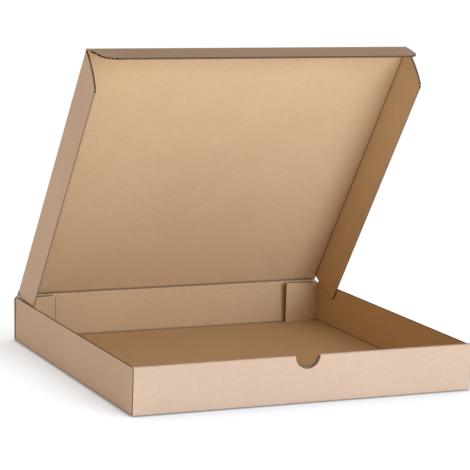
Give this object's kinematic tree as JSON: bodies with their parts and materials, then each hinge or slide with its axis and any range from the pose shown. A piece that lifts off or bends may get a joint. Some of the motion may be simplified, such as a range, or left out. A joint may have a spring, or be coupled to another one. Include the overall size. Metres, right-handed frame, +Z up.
{
  "type": "flat mailer box",
  "caption": "Flat square mailer box folded from one sheet of brown corrugated board, with a hinged lid, lid side flaps and a tuck flap that closes inside a rolled front wall.",
  "frame": {"origin": "middle of the underside of the base, on the surface that it rests on", "axes": "+X to the right seen from the front, +Y from the front wall to the hinge wall, +Z up"},
  "size_m": [0.42, 0.4034, 0.3831],
  "materials": {
    "kraft_board": "matt unprinted brown kraft liner over fine flutes"
  },
  "bodies": {
    "tray": {"tray": "kraft_board"},
    "lid": {"lid": "kraft_board"},
    "tuck_flap": {"tuck_flap": "kraft_board"}
  },
  "joints": [
    {"name": "lid_hinge", "type": "hinge", "parent": "tray", "child": "lid", "pos_m": [0, 0.20261, 0.0561], "axis": [-1, 0, 0], "range_deg": [-55.5, 124.5]},
    {"name": "tuck_fold", "type": "hinge", "parent": "lid", "child": "tuck_flap", "pos_m": [0, -0.02158, 0.3823], "axis": [1, 0, 0], "range_deg": [-73, 32.6]}
  ],
  "couplings": [
    {"joint": "tuck_fold", "follows": "lid_hinge", "ratio": -0.5855}
  ]
}
